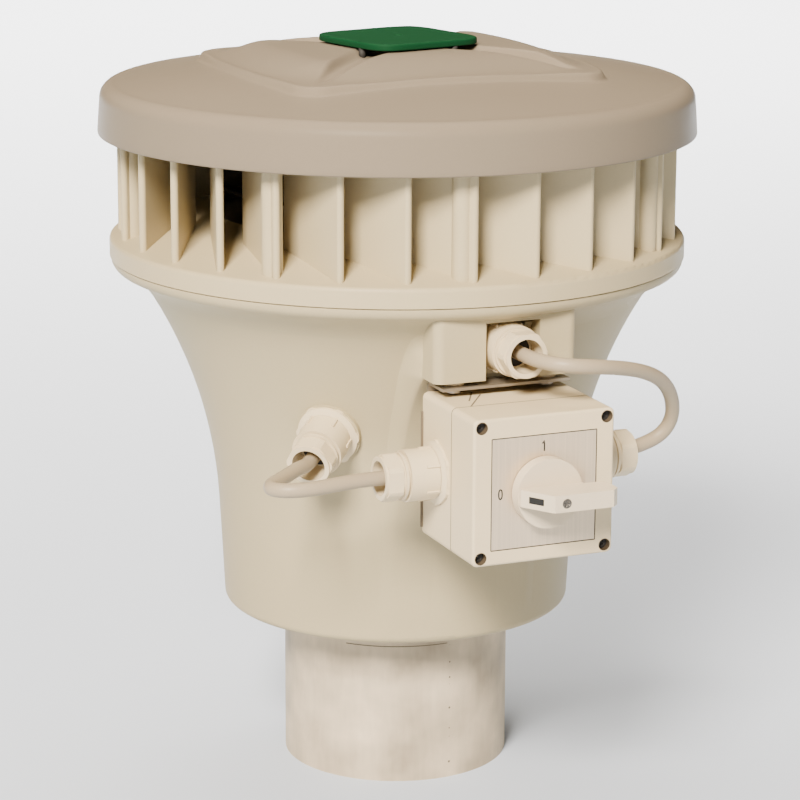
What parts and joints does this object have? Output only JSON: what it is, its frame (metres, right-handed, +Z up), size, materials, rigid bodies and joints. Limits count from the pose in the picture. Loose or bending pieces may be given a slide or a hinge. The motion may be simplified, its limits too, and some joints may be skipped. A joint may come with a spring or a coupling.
{
  "type": "roof pipe fan",
  "caption": "Roof extract fan on a duct pipe: insulated bell casing, ring of swept outlet vanes under a hood, impeller on an external rotor motor, and a safety switch on a bracket.",
  "frame": {"origin": "centre of the duct pipe's lower mouth", "axes": "+Z up along the duct, -Y the side the safety switch faces, +X to the right of the switch seen from the front"},
  "size_m": [0.3294, 0.3867, 0.4101],
  "materials": {
    "pipe_metal": "drawn, faint vertical streaks",
    "casing_plastic": "moulded, satin",
    "foam": "open-cell foam, stated as plastic",
    "sheet_metal": "galvanised sheet",
    "hood_plastic": "moulded, satin",
    "green_plate": "satin paint",
    "box_plastic": "moulded, satin",
    "knob_plastic": "moulded, smooth",
    "mark_black": "matt insert",
    "face_metal": "brushed sheet",
    "gland_plastic": "moulded",
    "seal_rubber": "soft rubber",
    "cable_jacket": "smooth jacket",
    "screw_steel": "zinc plated",
    "motor_iron": "painted core",
    "impeller_plastic": "moulded",
    "contact_plastic": "moulded"
  },
  "bodies": {
    "base": {"duct_pipe": "pipe_metal", "bell_casing": "casing_plastic", "vane_ring": "casing_plastic", "insulation": "foam", "inlet_nozzle": "sheet_metal", "inlet_screws": "screw_steel", "motor_plate": "sheet_metal", "hood": "hood_plastic", "hood_screws": "screw_steel", "top_plate": "green_plate", "motor_stator": "motor_iron", "stator_screws": "screw_steel", "lower_bearing": "screw_steel", "upper_bearing": "screw_steel", "long_screws": "screw_steel", "switch_bracket": "sheet_metal", "bracket_spacers": "gland_plastic", "bracket_screws": "screw_steel", "switch_base": "box_plastic", "base_screws": "screw_steel", "switch_seal": "seal_rubber", "switch_cover": "box_plastic", "cover_screws": "screw_steel", "face_plate": "face_metal", "switch_contacts": "contact_plastic", "supply_cable": "cable_jacket", "motor_cable": "cable_jacket", "casing_gland_body": "gland_plastic", "casing_gland_nut": "gland_plastic", "casing_gland_seal": "seal_rubber", "casing_gland_lock_nut": "gland_plastic", "motor_gland_body": "gland_plastic", "motor_gland_nut": "gland_plastic", "motor_gland_seal": "seal_rubber", "motor_gland_lock_nut": "gland_plastic", "left_switch_gland_body": "gland_plastic", "left_switch_gland_nut": "gland_plastic", "left_switch_gland_seal": "seal_rubber", "left_switch_gland_lock_nut": "gland_plastic", "right_switch_gland_body": "gland_plastic", "right_switch_gland_nut": "gland_plastic", "right_switch_gland_seal": "seal_rubber", "right_switch_gland_lock_nut": "gland_plastic"},
    "rotor": {"motor_rotor": "motor_iron", "motor_shaft": "screw_steel", "impeller": "impeller_plastic", "impeller_screws": "screw_steel"},
    "knob": {"switch_knob": "knob_plastic", "knob_mark": "mark_black", "knob_screw": "screw_steel", "switch_spindle": "screw_steel"}
  },
  "joints": [
    {"name": "fan_spin", "type": "hinge", "parent": "base", "child": "rotor", "pos_m": [0, 0, 0.345], "axis": [0, 0, 1], "continuous": true},
    {"name": "switch_turn", "type": "hinge", "parent": "base", "child": "knob", "pos_m": [0, -0.2, 0.20265], "axis": [0, 1, 0], "range_deg": [0, 90]}
  ]
}
